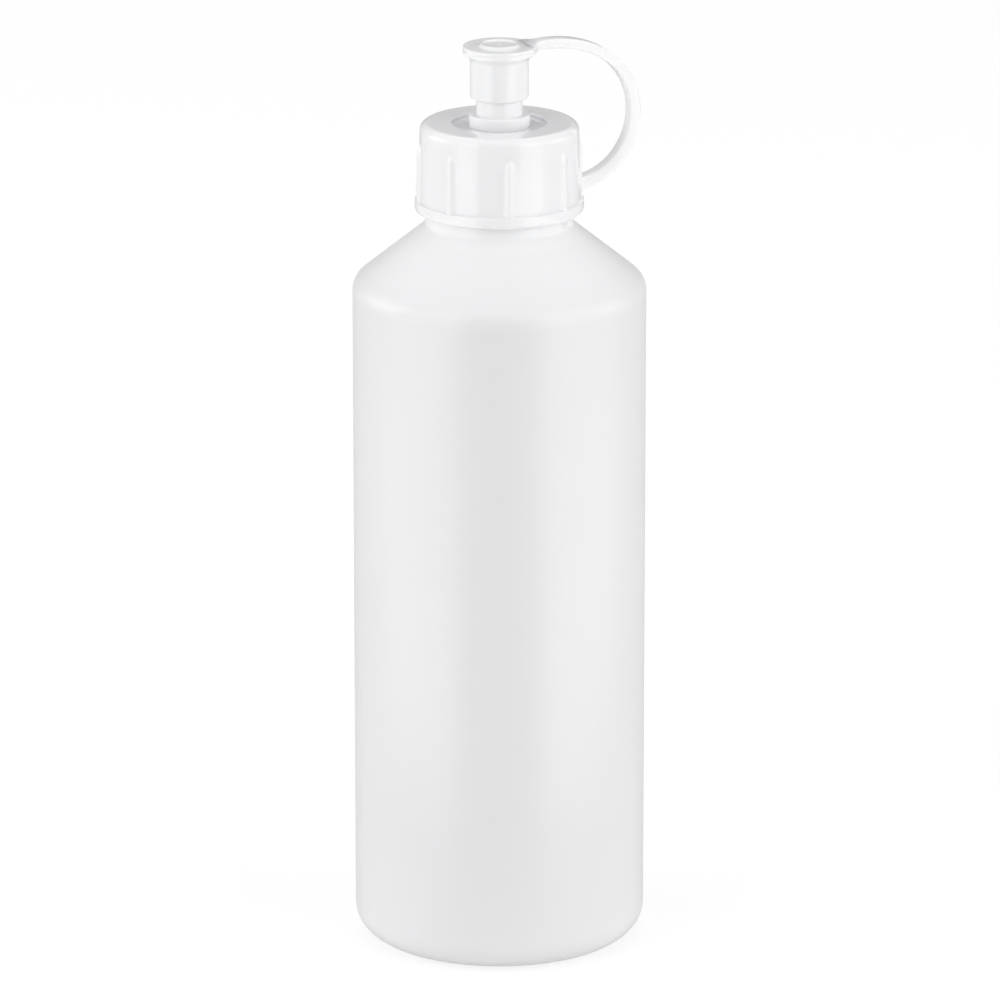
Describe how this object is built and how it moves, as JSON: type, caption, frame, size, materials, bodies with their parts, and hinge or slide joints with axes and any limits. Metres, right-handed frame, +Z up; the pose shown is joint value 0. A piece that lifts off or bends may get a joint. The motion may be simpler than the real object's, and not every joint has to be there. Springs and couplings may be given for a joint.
{
  "type": "squeeze bottle with captive stopper",
  "caption": "Round opaque plastic squeeze bottle with a ribbed screw cap, a short spout and a captive stopper on a looped strap.",
  "frame": {"origin": "middle of the base, on the plane that the foot ring stands on", "axes": "+Z up along the bottle's axis, -Y towards the front, the strap's loop towards +X and 20 degrees back"},
  "size_m": [0.066, 0.066, 0.2081],
  "materials": {
    "body_plastic": "satin moulded white polyethylene",
    "cap_plastic": "smooth, slightly glossy moulded white plastic",
    "spout_plastic": "smooth moulded white plastic",
    "stopper_plastic": "smooth, soft moulded white plastic"
  },
  "bodies": {
    "root": {"bottle": "body_plastic", "screw_cap": "cap_plastic", "spout": "spout_plastic", "stopper": "stopper_plastic"}
  },
  "joints": []
}
